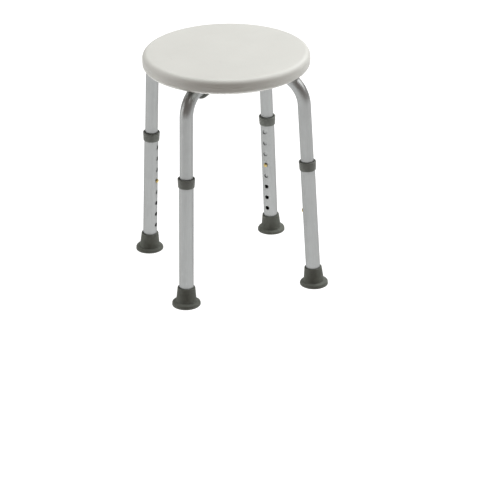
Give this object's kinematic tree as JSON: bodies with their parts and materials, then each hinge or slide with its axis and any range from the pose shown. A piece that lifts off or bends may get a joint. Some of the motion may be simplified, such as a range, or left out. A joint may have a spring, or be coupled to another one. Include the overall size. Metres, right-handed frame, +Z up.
{
  "type": "shower stool",
  "caption": "Round backless shower stool: a moulded plastic seat on two crossed bent tubes whose splayed legs telescope with snap buttons and stand on flared rubber tips.",
  "frame": {"origin": "on the floor, below the centre of the round seat", "axes": "+Z up; -Y is the front, with the legs on the diagonals between the X and Y axes"},
  "size_m": [0.3204, 0.3204, 0.455],
  "materials": {
    "seat_plastic": "off-white blow-moulded polyethylene, fine satin texture",
    "tube_aluminium": "satin anodised, faint lengthwise drawing lines",
    "grey_plastic": "mid-dark grey moulded nylon, satin",
    "grey_rubber": "mid-dark grey moulded rubber, matt",
    "plated_steel": "zinc-plated steel",
    "spring_steel": "plain stainless spring strip",
    "brass": "satin brass"
  },
  "bodies": {
    "frame": {"seat": "seat_plastic", "cross_tube_lower": "tube_aluminium", "cross_tube_upper": "tube_aluminium", "centre_bolt": "plated_steel", "centre_washer": "plated_steel", "centre_insert": "brass", "clamp_screws": "plated_steel", "clamp_inserts": "brass", "saddle_clamp_front_left": "grey_plastic", "button_spring_front_left": "spring_steel", "saddle_clamp_front_right": "grey_plastic", "button_spring_front_right": "spring_steel", "saddle_clamp_back_right": "grey_plastic", "button_spring_back_right": "spring_steel", "saddle_clamp_back_left": "grey_plastic", "button_spring_back_left": "spring_steel"},
    "lower_leg_front_left": {"lower_tube_front_left": "tube_aluminium", "collar_front_left": "grey_plastic", "foot_front_left": "grey_rubber", "foot_washer_front_left": "plated_steel"},
    "button_front_left": {"snap_button_front_left": "brass"},
    "lower_leg_front_right": {"lower_tube_front_right": "tube_aluminium", "collar_front_right": "grey_plastic", "foot_front_right": "grey_rubber", "foot_washer_front_right": "plated_steel"},
    "button_front_right": {"snap_button_front_right": "brass"},
    "lower_leg_back_right": {"lower_tube_back_right": "tube_aluminium", "collar_back_right": "grey_plastic", "foot_back_right": "grey_rubber", "foot_washer_back_right": "plated_steel"},
    "button_back_right": {"snap_button_back_right": "brass"},
    "lower_leg_back_left": {"lower_tube_back_left": "tube_aluminium", "collar_back_left": "grey_plastic", "foot_back_left": "grey_rubber", "foot_washer_back_left": "plated_steel"},
    "button_back_left": {"snap_button_back_left": "brass"}
  },
  "joints": [
    {"name": "leg_slide_front_left", "type": "slide", "parent": "frame", "child": "lower_leg_front_left", "axis": [-0.0382, -0.0382, -0.9985], "range_m": [-0.098, 0.0735], "deforming": ["snap_button_front_left", "button_spring_front_left"]},
    {"name": "button_press_front_left", "type": "slide", "parent": "frame", "child": "button_front_left", "axis": [-0.7061, -0.7061, 0.0541], "range_m": [0, 0.005], "stiffness_N_per_m": 1500, "springref_m": -0.004, "deforming": ["button_spring_front_left"]},
    {"name": "leg_slide_front_right", "type": "slide", "parent": "frame", "child": "lower_leg_front_right", "axis": [0.0382, -0.0382, -0.9985], "range_m": [-0.098, 0.0735], "deforming": ["snap_button_front_right", "button_spring_front_right"]},
    {"name": "button_press_front_right", "type": "slide", "parent": "frame", "child": "button_front_right", "axis": [0.7061, -0.7061, 0.0541], "range_m": [0, 0.005], "stiffness_N_per_m": 1500, "springref_m": -0.004, "deforming": ["button_spring_front_right"]},
    {"name": "leg_slide_back_right", "type": "slide", "parent": "frame", "child": "lower_leg_back_right", "axis": [0.0382, 0.0382, -0.9985], "range_m": [-0.098, 0.0735], "deforming": ["snap_button_back_right", "button_spring_back_right"]},
    {"name": "button_press_back_right", "type": "slide", "parent": "frame", "child": "button_back_right", "axis": [0.7061, 0.7061, 0.0541], "range_m": [0, 0.005], "stiffness_N_per_m": 1500, "springref_m": -0.004, "deforming": ["button_spring_back_right"]},
    {"name": "leg_slide_back_left", "type": "slide", "parent": "frame", "child": "lower_leg_back_left", "axis": [-0.0382, 0.0382, -0.9985], "range_m": [-0.098, 0.0735], "deforming": ["snap_button_back_left", "button_spring_back_left"]},
    {"name": "button_press_back_left", "type": "slide", "parent": "frame", "child": "button_back_left", "axis": [-0.7061, 0.7061, 0.0541], "range_m": [0, 0.005], "stiffness_N_per_m": 1500, "springref_m": -0.004, "deforming": ["button_spring_back_left"]}
  ]
}
